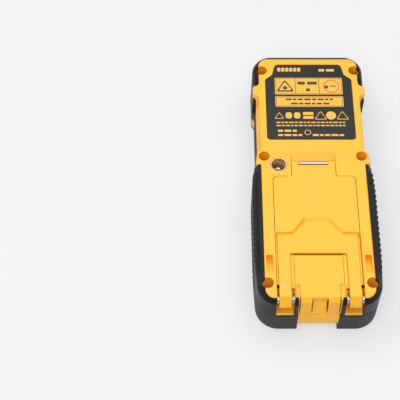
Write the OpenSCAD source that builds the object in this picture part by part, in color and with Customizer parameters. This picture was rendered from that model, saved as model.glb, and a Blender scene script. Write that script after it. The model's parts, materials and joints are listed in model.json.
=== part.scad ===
// Laser distance meter, lying on its front with its back panel up.
// Origin: centre of the overall outline, on the plane it lies on.
// +X across the back, +Y towards the laser end, +Z out of the back panel.

/* [Case] */
// Overall length, from the foot hinge end to the laser end
case_length = 144; // [143:0.5:146]
// Overall width across the side grips
case_width = 60; // [59.6:0.2:61]
// Overall height, from the front rim to the back panel
case_height = 29; // [29:0.1:29.6]
// Height of the parting line between the front and back shells
parting_z = 14.4; // [14:0.1:14.8]
// Distance from the resting plane up to the front face
face_z = 2.2; // [2:0.1:2.4]
// Thickness of the shells' walls
wall = 2; // [1.8:0.1:2.2]

/* [Positioning foot] */
// Half width of the foot's panel
foot_half = 19.9; // [19.5:0.1:20]
// Half width of the foot's tip
tip_half = 10.65; // [10:0.05:11]
// Y of the foot's tip
tip_y = 5.1; // [4.5:0.1:5.4]
// Radius of the foot's hinge hubs
hub_r = 2.7; // [2.5:0.1:2.8]
// Radius of the foot's hinge pins
hinge_pin_r = 1; // [0.9:0.05:1.1]

/* [Battery bay] */
// Radius of one AAA cell
cell_r = 5.25; // [5.1:0.05:5.25]
// Length of one AAA cell, with its terminal
cell_length = 44.5; // [44.1:0.1:44.5]
// Distance between the centres of two cells
cell_pitch = 10.8; // [10.7:0.05:10.9]
// Half width of the battery door's plate
door_half = 11.3; // [11:0.1:11.4]
// Half width of the battery door's tongue
tongue_half = 9.3; // [9:0.1:9.4]

/* [Fasteners] */
// Radius of the deep recess over each case screw
recess_r = 2.75; // [2.6:0.05:2.8]
// Radius of the tripod insert's thread at its crests
tripod_r = 2.6; // [2.55:0.05:2.7]
// Outer radius of the tripod insert's flange
insert_r = 4.3; // [4.2:0.1:4.5]

/* [Keys] */
// How far a key travels when it is pressed
key_travel = 0.7; // [0.5:0.1:0.7]
// Gap around each key
key_gap = 0.3; // [0.25:0.05:0.35]

/* [Hidden] */
$fn = 48;
end_y = case_length / 2;
side_x = case_width / 2;
arc_steps = 6;
skin = 0.3;

// Case outlines, as the right-hand half of each: [x, y, corner radius]
upper_half_x = side_x - 1.6;
waist_x = 25.6;
front_waist_x = 27.1;
grip_top_y = 3.4;
// Back panel of the back shell
panel_half = [
    [25.3, 68.6, 4.5], [25.3, 51.9, 2.4], [upper_half_x, 50.9, 0.8], [upper_half_x, 46, 1.2],
    [waist_x, 44.3, 1.2], [waist_x, 12.6, 2], [27.4, 9.6, 2], [28.2, grip_top_y, 0.5],
    [waist_x, grip_top_y, 0.4], [waist_x, -69.6, 5.2]
];
// Back shell below its lugs, where the rear rubber covers its sides
lug_low_z = 22;
rubber_end_y = 45;
panel_low_half = [
    [25.3, 68.6, 4.5], [25.3, rubber_end_y, 0], [waist_x, rubber_end_y, 0], [waist_x, 12.6, 2], [27.4, 9.6, 2], [28.2, grip_top_y, 0.5],
    [waist_x, grip_top_y, 0.4], [waist_x, -69.6, 5.2]
];
// Outside of the rear rubber, laser end
top_rubber_half = [
    [upper_half_x, end_y, 9.5], [upper_half_x, rubber_end_y, 0]
];
// Outside of the front half
front_outer_half = [
    [upper_half_x, end_y, 9.5], [upper_half_x, 45.6, 1.2], [front_waist_x, 43.3, 1.2],
    [front_waist_x, 12, 3], [29, 6, 3], [side_x, -6, 20], [side_x, -50, 20],
    [28.6, end_y * -1, 11]
];
// Outside of the front shell, under the front rubber
front_shell_half = [[25.6, 69.2, 7], [25.6, -69.4, 7]];

// Case screws
screw_places = [[23.7, 61], [23.9, 8], [24.1, -62]];
screw_seat_z = 17;
screw_head_z = 2;
screw_head_r = 2.5;
screw_shank_r = 1.25;
screw_tip_z = 6;
tube_r = 3.05;
tube_top = case_height - 2;

// Tripod insert
insert_x = -16.9;
insert_y = 3.2;
insert_seat_z = 20.5;
insert_flange = 1;

// Seal and cavity: an outline that steps inwards past each screw
seal_x = 23.4;
seal_in_x = 18.9;
seal_top_y = 66.2;
seal_end_y = -67.3;
seal_step = 4.6;
seal_half_width = 0.4;
seal_depth = 0.45;
cavity_inset = 1.2;

// Foot
foot_under_z = 26.2;
foot_bar_z = case_height - 1.3;
foot_neck_y = -3.8;
foot_wing_y = -35.3;
foot_strip_y = -62.1;
foot_strip_z = foot_bar_z - 0.35;
arm_in = 13.4;
arm_out = 18.9;
bar_y = -45.6;
hinge_y = -68.7;
hinge_z = 25.3;
running = 0.05;
channel_z = 25.9;
channel_half = foot_half + skin;
slot_in = 11.7;
slot_out = 20.2;
slot_y = -63.3;
slot_z = 17;
slot_wall_y = -64.65;
slot_wall_top = 23.9;
pit_y = -71.45;
pit_z = 15.1;
wear_pin_y = 4.3;
wear_pin_r = 0.95;
wear_pin_half = 7.4;
wear_pin_z = case_height - wear_pin_r - 0.01;
spring_r = 2.15;
notch_half = 10.95;
notch_end_y = 10.6;

// Battery bay and door
bay_ceiling = 23.75;
cell_z = 18.25;
tray_half = 17.8;
tray_in_half = 16.4;
tray_low_y = -63.5;
tray_high_y = -13.2;
tray_wall = 1.3;
tray_z = 10.8;
tray_floor = 12.7;
door_top = 26.4;
door_under = 24.4;
door_in_y = -46.1;
door_step_y = -61;
door_chamfer_y = -68.3;
door_face_y = -70.2;
door_face_z = 24.5;
door_foot_y = -71.35;
door_wall = 1.6;
door_low = 15.5;
door_pin_y = -47.4;
door_pin_z = 24.95;
door_pin_r = 0.65;
door_pin_end = 12.8;
latch_half = 3.45;
latch_gap = 0.42;
latch_low = 16;
latch_high = 23.1;
latch_pin_y = -70.45;
latch_pin_z = 16.8;
cheek_out = 10.15;
strip_half = 11.6;
contact_low_y = -62.1;
contact_high_y = -15.5;
contact_t = 0.4;
gap_half = 9.6;

// Front face
fascia_z = 1.6;
fascia_top = 3;
face_wall_top = face_z + wall;
window_z = 1.9;
key_low = 0.7;
key_flange_low = face_wall_top + 0.15;
key_flange_top = key_flange_low + 0.5;
mat_low = key_flange_top + key_travel + 0.1;
mat_top = mat_low + 0.8;
pcb_low = 7.2;
pcb_top = 8.4;
pcb_screw_x = 18;
pcb_screw_y = [-50, 21];
pcb_screw_r = 1;
display_y = [24, 56];
display_half = 18;

// Keys: [name index, x, y, width, height]
key_measure_size = [0, 9, 24, 14];
key_w = 10.5;
key_h = 7.6;
key_row_1 = -8;
key_row_2 = -22;
key_row_3 = -36;
key_column = 14;
key_places = [
    key_measure_size,
    [-key_column, key_row_1, key_w, key_h], [key_column, key_row_1, key_w, key_h],
    [-key_column, key_row_2, key_w, key_h], [0, key_row_2, key_w, key_h],
    [key_column, key_row_2, key_w, key_h],
    [-key_column, key_row_3, key_w, key_h], [0, key_row_3, key_w, key_h],
    [key_column, key_row_3, key_w, key_h]
];

// Optics
optic_z = 15.3;
laser_x = -13;
laser_r = 3.6;
receiver_x = 5;
receiver_r = 7.4;
bezel_half_z = 9.2;
bezel_low_x = -18.6;
bezel_high_x = 14.6;
bezel_y = 66.8;
bezel_end_y = end_y - 0.6;
optic_low_y = 36;
optic_high_y = 64.5;

// ---- Outline functions ----

function unit(v) = v / norm(v);

function corner_arc(before, at, after, radius) =
    let (
        a = unit(before - at),
        b = unit(after - at),
        half = acos(a * b) / 2,
        centre = at + unit(a + b) * radius / sin(half),
        from = at + a * radius / tan(half) - centre,
        to = at + b * radius / tan(half) - centre
    )
    [for (i = [0:arc_steps]) centre + radius * unit(from * (arc_steps - i) + to * i)];

function flat(p) = [p[0], p[1]];

function rounded(path) =
    let (n = len(path))
    [for (i = [0:n - 1])
        each path[i][2] > 0
            ? corner_arc(flat(path[(i + n - 1) % n]), flat(path[i]), flat(path[(i + 1) % n]), path[i][2])
            : [flat(path[i])]
    ];

function both_sides(half) =
    concat(half, [for (i = [len(half) - 1:-1:0]) [-half[i][0], half[i][1], half[i][2]]]);

function seal_half(d) =
    let (
        top_low = screw_places[0][1] - seal_step,
        mid_high = screw_places[1][1] + seal_step,
        mid_low = screw_places[1][1] - seal_step,
        end_high = screw_places[2][1] + seal_step
    )
    [
        [seal_in_x + d, seal_top_y + d, 1.6], [seal_in_x + d, top_low + d, 0.8],
        [seal_x + d, top_low + d, 0.8], [seal_x + d, mid_high - d, 0.8],
        [seal_in_x + d, mid_high - d, 0.8], [seal_in_x + d, mid_low + d, 0.8],
        [seal_x + d, mid_low + d, 0.8], [seal_x + d, end_high - d, 0.8],
        [seal_in_x + d, end_high - d, 0.8], [seal_in_x + d, seal_end_y - d, 1.6]
    ];

// ---- Shared shapes ----

module plate(half, low, high) {
    translate([0, 0, low])
        linear_extrude(high - low)
            polygon(rounded(both_sides(half)));
}

module block(low, high) {
    translate(low)
        cube(high - low);
}

module mid_block(half_x, y_low, y_high, z_low, z_high) {
    block([-half_x, y_low, z_low], [half_x, y_high, z_high]);
}

module pair() {
    children();
    mirror([1, 0, 0])
        children();
}

module rod_x(x_low, x_high, y, z, r) {
    translate([x_low, y, z])
        rotate([0, 90, 0])
            cylinder(h = x_high - x_low, r = r);
}

module rod_y(x, y_low, y_high, z, r) {
    translate([x, y_high, z])
        rotate([90, 0, 0])
            cylinder(h = y_high - y_low, r = r);
}

module at_screws() {
    for (place = screw_places)
        pair()
            translate([place[0], place[1], 0])
                children();
}

module at_pcb_screws() {
    for (y = pcb_screw_y)
        pair()
            translate([pcb_screw_x, y, 0])
                children();
}

module rounded_box(x, y, w, h, radius, low, high) {
    corners = [[w / 2, h / 2], [w / 2, -h / 2], [-w / 2, -h / 2], [-w / 2, h / 2]];
    translate([x, y, low])
        linear_extrude(high - low)
            polygon(rounded([for (c = corners) [c[0], c[1], radius]]));
}

module bezel_space(extra) {
    block(
        [bezel_low_x - extra, bezel_y - extra, optic_z - bezel_half_z - extra],
        [bezel_high_x + extra, end_y + wall, optic_z + bezel_half_z + extra]
    );
}

// Foot outline with all its edges moved out by d
module foot_outline(d) {
    half = [
        [tip_half + d, tip_y, 0], [tip_half + d, foot_neck_y + d, 0.4],
        [foot_half + d, foot_neck_y + d, 2.5], [foot_half + d, bar_y, 0]
    ];
    polygon(rounded(both_sides(half)));
}

// ---- Case ----

module foot_channel() {
    difference() {
        translate([0, 0, channel_z])
            linear_extrude(wall * 3)
                union() {
                    foot_outline(skin);
                    translate([-channel_half, slot_y])
                        square([channel_half * 2, bar_y - slot_y + 1]);
                }
        // Raised floor round the door, between the foot's arms
        mid_block(arm_in - skin, foot_strip_y, bar_y - skin, channel_z - 1, door_top);
    }
}

module finger_notch() {
    rotate([90, 0, 90])
        translate([0, 0, -notch_half])
            linear_extrude(notch_half * 2)
                polygon([
                    [tip_y - 2, channel_z], [tip_y + 1.4, channel_z],
                    [notch_end_y, case_height], [notch_end_y, case_height + 1],
                    [tip_y - 2, case_height + 1]
                ]);
}

module rim_pockets() {
    pair()
        rotate([90, 0, 90])
            translate([0, 0, 21.5])
                linear_extrude(3.1)
                    polygon([
                        [-47.4, case_height + 1], [-47.4, case_height - 4], [-51.2, case_height - 4],
                        [-51.2, case_height - 2.4], [-56.6, case_height - 1.2],
                        [-56.6, case_height + 1]
                    ]);
}

module hinge_slots() {
    pair()
        union() {
            block([slot_in, -end_y - 1, slot_z], [slot_out, slot_wall_y, case_height + 1]);
            block([slot_in, slot_wall_y - 1, slot_wall_top], [slot_out, slot_y, case_height + 1]);
            // Relief under the end of the foot's arm
            block([arm_in, pit_y, pit_z], [arm_out, -66.5, slot_z + 1]);
        }
}

// Outline in (Y, Z) of the battery end, from the door's top down to z_low
function end_profile(back, z_low) =
    let (lean = (door_face_y - door_foot_y) / (door_face_z - parting_z))
    [
        [door_chamfer_y + back, door_top], [door_face_y + back, door_face_z],
        [door_face_y + back - lean * (door_face_z - z_low), z_low]
    ];

module along_x(x_low, x_high) {
    rotate([90, 0, 90])
        translate([0, 0, x_low])
            linear_extrude(x_high - x_low)
                children();
}

module door_hatch() {
    mid_block(strip_half, door_step_y, door_in_y + 1.3, bay_ceiling - 1, case_height + 1);
    mid_block(tongue_half + 0.2, -end_y - 1, door_in_y, door_low - 0.2, case_height + 1);
}

module door_sockets() {
    pair()
        rod_x(tongue_half, door_pin_end + 0.15, door_pin_y, door_pin_z, door_pin_r + running);
}

// Shell tubes round the screw recesses, where they pass through the rubber
module recess_tubes() {
    for (index = [0, 2])
        pair()
            translate([screw_places[index][0], screw_places[index][1], parting_z])
                cylinder(h = tube_top - parting_z, r = tube_r);
}

module screw_bores() {
    at_screws()
        union() {
            translate([0, 0, screw_seat_z])
                cylinder(h = case_height, r = recess_r);
            translate([0, 0, parting_z - 1])
                cylinder(h = 4, r = screw_shank_r + 0.2);
        }
}

module back_shell_body() {
    union() {
        plate(panel_half, lug_low_z, case_height);
        plate(panel_low_half, parting_z, lug_low_z + 0.1);
        pair()
            block([slot_in + 0.2, -71.9, parting_z + 1], [slot_out - 0.2, -69, slot_z]);
        // Cheeks beside the battery door's end
        pair()
            along_x(tongue_half + 0.2, cheek_out)
                polygon(concat(end_profile(0.45, parting_z), [[-68, parting_z], [-67.6, door_top]]));
    }
}

module back_cavity() {
    intersection() {
        plate(seal_half(-cavity_inset), parting_z - 1, case_height - wall);
        block([-side_x, 13, 0], [side_x, end_y, case_height]);
    }
    intersection() {
        plate(seal_half(-cavity_inset), parting_z - 1, bay_ceiling);
        block([-side_x, -66, 0], [side_x, 14, case_height]);
    }
}

module back_shell() {
    color("gold")
        difference() {
            union() {
                difference() {
                    back_shell_body();
                    back_cavity();
                }
                translate([insert_x, insert_y, insert_seat_z - 1])
                    cylinder(h = 6, r = insert_r + 1.3);
                // Walls between the hinge slots and the battery bay
                pair()
                    block([slot_in - 1, -66.2, parting_z], [slot_out, tray_low_y - 0.1, bay_ceiling + 0.1]);
                // Strip of wall below the door, and the tubes round the screw recesses
                along_x(-tongue_half - 0.3, tongue_half + 0.3)
                    polygon([
                        [-69, parting_z], [-69, door_low - 0.2], [door_foot_y + 0.1, door_low - 0.2],
                        [door_foot_y, parting_z]
                    ]);
                recess_tubes();
            }
            foot_channel();
            finger_notch();
            rim_pockets();
            hinge_slots();
            door_hatch();
            door_sockets();
            screw_bores();
            bezel_space(skin);
            // Flat ledges at the door's level, round the door
            mid_block(strip_half, -end_y, door_step_y, door_top, case_height + 1);
            // Hinge pin seats
            pair()
                rod_x(slot_in - 0.8, slot_out + 0.9, hinge_y, hinge_z, hinge_pin_r);
            // Label recess
            label_shape(case_height - 0.4, case_height + 1, 0.05);
            // Tripod insert seat
            translate([insert_x, insert_y, insert_seat_z])
                cylinder(h = 10, r = insert_r - 0.4);
            translate([insert_x, insert_y, case_height - insert_flange])
                cylinder(h = 2, r = insert_r);
            // Seal groove
            difference() {
                plate(seal_half(seal_half_width), parting_z - 1, parting_z + seal_depth);
                plate(seal_half(-seal_half_width), parting_z - 1, parting_z + seal_depth);
            }
        }
}

// Rear rubber round the laser end, from one lug to the other
module rear_top_overmould() {
    color("#2b2b2b")
        difference() {
            plate(top_rubber_half, parting_z, case_height - 0.4);
            plate(panel_half, lug_low_z, case_height + 1);
            plate(panel_low_half, parting_z - 1, lug_low_z);
            mid_block(side_x + 1, 0, 50.5, lug_low_z, case_height + 1);
            recess_tubes();
            screw_bores();
            bezel_space(skin);
        }
}

// Rear rubber along one side, with the bumper at the foot's end
module rear_grip() {
    difference() {
        translate([0, 0, parting_z])
            linear_extrude(case_height - 0.3 - parting_z)
                polygon(rounded([
                    [cheek_out, -end_y, 0.8], [cheek_out, -60, 0], [waist_x - 1, -60, 0],
                    [waist_x - 1, grip_top_y - 0.3, 0], [29, grip_top_y - 0.3, 2.6], [side_x, -8, 24],
                    [side_x, -50, 24], [28.6, -end_y, 11]
                ]));
        plate(panel_half, parting_z - 1, case_height + 1);
        block([slot_in, -end_y - 1, parting_z + 1], [slot_out, -60, case_height + 1]);
        recess_tubes();
        screw_bores();
        rod_x(slot_in - 0.8, slot_out + 0.9, hinge_y, hinge_z, hinge_pin_r);
        // Knurled band of cross grooves
        for (y = [-54:3:-3])
            block([side_x - 0.35, y, parting_z + 2.5], [side_x + 1, y + 1.4, case_height - 3.2]);
    }
}

module right_rear_grip() {
    color("#2b2b2b")
        rear_grip();
}

module left_rear_grip() {
    color("#2b2b2b")
        mirror([1, 0, 0])
            rear_grip();
}

// Yellow tabs that show at the lower ends of the front rubber's wide part
module front_tabs() {
    intersection() {
        plate(front_outer_half, 0, parting_z);
        pair()
            block([25, 43.2, 2.5], [side_x, 46, 8.4]);
    }
}

module front_shell() {
    color("gold")
        difference() {
            union() {
                plate(front_shell_half, face_z, parting_z);
                // Bevelled lip between the bumpers, that turns under
                along_x(-gap_half + 0.05, gap_half - 0.05)
                    polygon([
                        [-68, parting_z], [door_foot_y, parting_z], [-71.98, 13.5], [-71.98, 8.9],
                        [-71.8, 7.2], [-71.4, 5.6], [-70.8, 4.4], [-70, 3.7], [-68, 3.3]
                    ]);
                front_tabs();
            }
            difference() {
                intersection() {
                    plate(seal_half(-cavity_inset), face_wall_top, parting_z + 1);
                    block([-side_x, -66, 0], [side_x, end_y, case_height]);
                }
                // Posts that carry the main board
                at_pcb_screws()
                    cylinder(h = pcb_low, r = 2.3);
            }
            at_pcb_screws()
                translate([0, 0, face_wall_top])
                    cylinder(h = parting_z, r = pcb_screw_r);
            plate(fascia_half(0.05), 0, fascia_top);
            mid_block(display_half - 1.5, display_y[0] + 1.5, display_y[1] - 1.5, 0, face_wall_top + 1);
            for (key = key_places)
                rounded_box(key[0], key[1], key[2] + 2 * key_gap, key[3] + 2 * key_gap,
                    key_radius(key), 0, face_wall_top + 1);
            at_screws()
                translate([0, 0, screw_tip_z - 0.5])
                    cylinder(h = parting_z, r = screw_shank_r + running);
            bezel_space(skin);
            difference() {
                plate(seal_half(seal_half_width), parting_z - seal_depth, parting_z + 1);
                plate(seal_half(-seal_half_width), parting_z - seal_depth, parting_z + 1);
            }
            // Sloped lower edge between the bumpers
            along_x(-gap_half, gap_half)
                polygon([[-73, 0.5], [-73, 3.65], [-69.9, 3.65], [-68, 3.25], [-66.6, 1.9], [-66.2, 0.5]]);
        }
}

module front_overmould() {
    color("#4a4c4f")
        difference() {
            plate(front_outer_half, 0, parting_z);
            plate(front_shell_half, face_z, parting_z + 1);
            plate(face_opening_half(), -1, face_z + 1);
            mid_block(gap_half, -end_y - 1, -60, -1, parting_z + 1);
            front_tabs();
            bezel_space(skin);
            for (y = [-54:3:-3])
                pair()
                    block([side_x - 0.35, y, 3], [side_x + 1, y + 1.4, parting_z - 2]);
        }
}

function face_opening_half() = [[24.2, 67.2, 6], [24.2, -66.6, 7]];

module case_gasket() {
    color("#1c1c1c")
        difference() {
            plate(seal_half(seal_half_width), parting_z - seal_depth, parting_z + seal_depth);
            plate(seal_half(-seal_half_width), parting_z - 1, parting_z + 1);
        }
}

module case_screws() {
    color("silver")
        at_screws()
            difference() {
                union() {
                    translate([0, 0, screw_seat_z])
                        cylinder(h = screw_head_z, r = screw_head_r);
                    translate([0, 0, screw_tip_z])
                        cylinder(h = screw_seat_z - screw_tip_z + 0.1, r = screw_shank_r);
                }
                // Six-lobed socket, kept as a plain hexagon
                translate([0, 0, screw_seat_z + 0.8])
                    cylinder(h = screw_head_z, r = 1.15, $fn = 6);
            }
}

// ---- Label ----

module label_shape(low, high, d) {
    half = [
        [16.9 + d, 64.8 + d, 2.2], [18.4 + d, 58.2, 1.6], [22.1 + d, 55.2, 2.2],
        [22.1 + d, 17.8 - d, 2]
    ];
    plate(half, low, high);
}

module label_plate() {
    color("#404246")
        label_shape(case_height - 0.4, case_height - 0.05, 0);
}

// ---- Tripod insert ----

module tripod_insert() {
    color("#b08d57")
        translate([insert_x, insert_y, 0])
            difference() {
                union() {
                    translate([0, 0, case_height - 1])
                        cylinder(h = 0.9, r = insert_r - 0.02);
                    translate([0, 0, 20.6])
                        cylinder(h = case_height - 1 - 20.6, r = insert_r - 0.42);
                }
                translate([0, 0, 21.6])
                    cylinder(h = 10, r = tripod_r);
                translate([0, 0, case_height - 1.2])
                    cylinder(h = 1.15, r1 = tripod_r, r2 = 3.4, $fn = 48);
            }
}

// ---- Positioning foot ----

module foot_arm_profile() {
    union() {
        polygon([
            [bar_y + 1, foot_under_z], [bar_y + 1, foot_bar_z], [hinge_y + 0.2, foot_bar_z],
            [-71.3, 24.1], [-71.3, 22.7], [-70.6, 21.9], [-69.2, 21.6], [-67.4, 22.1],
            [-66.4, 23.3], [-66.05, 24.7], [-65.9, foot_under_z]
        ]);
        translate([hinge_y, hinge_z])
            circle(r = hub_r);
    }
}

module positioning_foot() {
    color("gold")
        difference() {
            union() {
                translate([0, 0, foot_under_z])
                    linear_extrude(foot_bar_z - foot_under_z)
                        foot_outline(0);
                // Raised panel, with its sloped thumb recess left out
                translate([0, 0, foot_bar_z - 0.1])
                    linear_extrude(case_height - foot_bar_z + 0.1)
                        difference() {
                            foot_outline(0);
                            polygon([
                                [-foot_half - 1, foot_wing_y], [-11.8, foot_wing_y], [-5.9, -27.9],
                                [5.9, -27.9], [11.8, foot_wing_y], [foot_half + 1, foot_wing_y],
                                [foot_half + 1, bar_y - 1], [-foot_half - 1, bar_y - 1]
                            ]);
                        }
                pair()
                    union() {
                        along_x(arm_in, arm_out)
                            foot_arm_profile();
                        block([arm_out - 0.1, foot_strip_y, foot_under_z], [foot_half, bar_y + 1, foot_strip_z]);
                    }
            }
            rod_x(-side_x, side_x, hinge_y, hinge_z, hinge_pin_r + running);
            // Seat of the wear pin, open on top
            rod_x(-wear_pin_half, wear_pin_half, wear_pin_y, wear_pin_z, wear_pin_r);
            mid_block(wear_pin_half, wear_pin_y - wear_pin_r, tip_y + 1, wear_pin_z, case_height + 1);
        }
}

module foot_wear_pin() {
    color("silver")
        rod_x(-wear_pin_half, wear_pin_half, wear_pin_y, wear_pin_z, wear_pin_r - 0.01);
}

module hinge_pin() {
    rod_x(slot_in - 0.8, slot_out + 0.9, hinge_y, hinge_z, hinge_pin_r);
}

module foot_hinge_pin_right() {
    color("silver")
        hinge_pin();
}

module foot_hinge_pin_left() {
    color("silver")
        mirror([1, 0, 0])
            hinge_pin();
}

// One spring wire wound in a coil on each side of an arm; each coil is a plain sleeve here
module double_spring() {
    for (x = [slot_in + 0.2, arm_out + 0.15])
        difference() {
            rod_x(x, x + 1.1, hinge_y, hinge_z, spring_r);
            rod_x(x - 1, x + 3, hinge_y, hinge_z, hinge_pin_r + 0.2);
        }
}

module foot_spring_right() {
    color("silver")
        double_spring();
}

module foot_spring_left() {
    color("silver")
        mirror([1, 0, 0])
            double_spring();
}

// ---- Battery door and bay ----

module door_outline() {
    polygon(rounded(both_sides([
        [door_half, door_in_y, 0.3], [door_half, door_step_y + 0.2, 0.3],
        [tongue_half, door_step_y + 0.2, 0.3], [tongue_half, door_chamfer_y + 0.4, 0]
    ])));
}

module battery_door() {
    window = latch_half + latch_gap;
    color("gold")
        difference() {
            union() {
                translate([0, 0, door_under])
                    linear_extrude(door_top - door_under)
                        door_outline();
                along_x(-tongue_half, tongue_half)
                    polygon(concat(
                        end_profile(0, door_low), [[door_foot_y + door_wall + 0.2, door_low],
                        [door_face_y + door_wall, door_under - 0.4], [-67, door_under], [-67, door_top]]
                    ));
                pair()
                    rod_x(door_half - 0.2, door_pin_end, door_pin_y, door_pin_z, door_pin_r);
                mid_block(window + 0.5, door_chamfer_y, door_chamfer_y + 1, latch_high + 0.3, door_top);
            }
            // Window that the latch tongue fills
            mid_block(window, -end_y, door_chamfer_y, latch_low - latch_gap, door_top + 1);
        }
}

module battery_latch() {
    top_y = door_chamfer_y - 0.4;
    color("orange")
        union() {
            along_x(-latch_half, latch_half)
                polygon([
                    [-71.1, latch_low], [top_y - 0.15, 21.4], [top_y, latch_high],
                    [top_y + 1, latch_high], [top_y + 0.95, 21], [-69.9, latch_low]
                ]);
            // Pivot stubs in the door's window
            rod_x(-latch_half - latch_gap + 0.05, latch_half + latch_gap - 0.05,
                latch_pin_y, latch_pin_z, 0.5);
        }
}

module battery_tray() {
    color("#3c3c3c")
        difference() {
            mid_block(tray_half, tray_low_y, tray_high_y, tray_z, bay_ceiling - 0.1);
            mid_block(tray_in_half, tray_low_y + tray_wall, tray_high_y - tray_wall, tray_floor,
                bay_ceiling + 1);
            mid_block(tongue_half + 0.8, tray_low_y - 1, tray_low_y + 2, parting_z, bay_ceiling + 1);
            // Corners that clear the case screws' posts
            at_screws()
                cylinder(h = case_height, r = recess_r + 2.2);
            // Only what fits inside the seal
            difference() {
                mid_block(side_x, -70, 0, 0, case_height);
                plate(seal_half(-cavity_inset - 0.1), -1, case_height + 1);
            }
        }
}

module cell(index, facing) {
    x = (index - 1) * cell_pitch;
    body = cell_length - 1.2;
    y = facing > 0 ? contact_low_y + contact_t + 1.7 : contact_low_y + contact_t + 0.1;
    union() {
        rod_y(x, facing > 0 ? y : y + 1.2, facing > 0 ? y + body : y + cell_length, cell_z, cell_r);
        rod_y(x, facing > 0 ? y + body - 0.1 : y, facing > 0 ? y + cell_length : y + 1.3, cell_z, 1.9);
    }
}

module aaa_cell_1() {
    color("#6d7f8d")
        cell(0, 1);
}

module aaa_cell_2() {
    color("#6d7f8d")
        cell(1, -1);
}

module aaa_cell_3() {
    color("#6d7f8d")
        cell(2, 1);
}

module cell_springs() {
    color("silver")
        for (index = [0:2]) {
            x = (index - 1) * cell_pitch;
            low = index == 1
                ? contact_low_y + contact_t + 0.1 + cell_length : contact_low_y + contact_t;
            high = index == 1 ? contact_high_y : low + 1.7;
            difference() {
                rod_y(x, low, high, cell_z, 3);
                rod_y(x, low - 1, high + 1, cell_z, 2.3);
            }
        }
}

module cell_contact_plates() {
    color("silver")
        for (index = [0:2])
            for (y = [contact_low_y, contact_high_y])
                translate([(index - 1) * cell_pitch, y, 0])
                    mid_block(4.6, 0, contact_t, cell_z - 4, cell_z + 4);
}

// ---- Front face ----

function fascia_half(d) = [[22 + d, 63 + d, 5], [22 + d, -60 - d, 8]];

function key_radius(key) = key[2] > 20 ? 5.5 : 2.4;

module front_fascia() {
    color("#2e3033")
        difference() {
            plate(fascia_half(0), fascia_z, fascia_top);
            mid_block(display_half + 0.05, display_y[0] - 0.05, display_y[1] + 0.05, 0, window_z + 1);
            mid_block(display_half - 1.5, display_y[0] + 1.5, display_y[1] - 1.5, 0, fascia_top + 1);
            for (key = key_places)
                rounded_box(key[0], key[1], key[2] + 2 * key_gap, key[3] + 2 * key_gap,
                    key_radius(key), 0, fascia_top + 1);
        }
}

module display_window() {
    color("#10151a")
        mid_block(display_half, display_y[0], display_y[1], window_z, window_z + 1);
}

module display_module() {
    color("#7d8a86")
        union() {
            mid_block(display_half - 0.5, display_y[0] + 0.5, display_y[1] - 0.5,
                face_wall_top + 0.05, 6.4);
            mid_block(display_half - 1.7, display_y[0] + 1.7, display_y[1] - 1.7, 3.1, face_wall_top + 0.1);
        }
}

module keypad_mat() {
    color("#5a5d60")
        intersection() {
            mid_block(20.5, -42, 17.5, mat_low, mat_top);
            plate(seal_half(-cavity_inset - 0.2), mat_low - 1, mat_top + 1);
        }
}

module key_cap(index) {
    key = key_places[index];
    union() {
        rounded_box(key[0], key[1], key[2], key[3], key_radius(key) - 0.2, key_low, key_flange_top);
        rounded_box(key[0], key[1], key[2] + 1.6, key[3] + 1.6, key_radius(key) + 0.5,
            key_flange_low, key_flange_top);
    }
}

module key_measure() {
    color("gold")
        key_cap(0);
}

module key_reference() {
    color("#6b6e72")
        key_cap(1);
}

module key_clear() {
    color("firebrick")
        key_cap(2);
}

module key_add() {
    color("#6b6e72")
        key_cap(3);
}

module key_area() {
    color("#6b6e72")
        key_cap(4);
}

module key_subtract() {
    color("#6b6e72")
        key_cap(5);
}

module key_indirect() {
    color("#6b6e72")
        key_cap(6);
}

module key_memory() {
    color("#6b6e72")
        key_cap(7);
}

module key_timer() {
    color("#6b6e72")
        key_cap(8);
}

// ---- Electronics ----

module main_pcb() {
    color("seagreen")
        difference() {
            intersection() {
                mid_block(21.5, -56, 64.5, pcb_low, pcb_top);
                plate(seal_half(-cavity_inset - 0.3), pcb_low - 1, pcb_top + 1);
            }
            at_pcb_screws()
                cylinder(h = case_height, r = pcb_screw_r + 0.1);
        }
}

// Snap domes that the keys close, one under each key
module key_domes() {
    color("silver")
        for (key = key_places)
            translate([key[0], key[1], pcb_low - 0.35])
                cylinder(h = 0.35, r = 2.5);
}

module pcb_screws() {
    color("silver")
        at_pcb_screws()
            union() {
                translate([0, 0, pcb_top])
                    cylinder(h = 1, r = 1.9);
                translate([0, 0, face_wall_top])
                    cylinder(h = pcb_top - face_wall_top + 0.1, r = pcb_screw_r);
            }
}

module processor_chip() {
    color("#202020")
        block([-6, 8, pcb_top], [6, 20, pcb_top + 1.2]);
}

module buzzer() {
    color("#181818")
        translate([13, 16, pcb_top])
            difference() {
                cylinder(h = 3.2, r = 4.2);
                translate([0, 0, 2.6])
                    cylinder(h = 2, r = 1);
            }
}

module optical_block() {
    color("#303438")
        difference() {
            block([bezel_low_x + 1.6, optic_low_y, pcb_top + 0.2], [bezel_high_x - 0.6, optic_high_y, 25]);
            rod_y(laser_x, optic_low_y - 1, optic_high_y + 1, optic_z + 1, laser_r);
            rod_y(receiver_x, optic_low_y + 3, optic_high_y + 1, optic_z + 1, receiver_r - 1.2);
            rod_y(receiver_x, optic_high_y - 3.5, optic_high_y + 1, optic_z + 1, receiver_r - 0.6);
            rod_y(receiver_x, optic_low_y - 1, optic_low_y + 4, optic_z + 1, 2.2);
        }
}

module laser_barrel() {
    color("#b08d57")
        difference() {
            rod_y(laser_x, optic_low_y + 4, optic_high_y - 1, optic_z + 1, laser_r - 0.02);
            rod_y(laser_x, optic_low_y + 3, optic_high_y, optic_z + 1, 2.85);
        }
}

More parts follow.
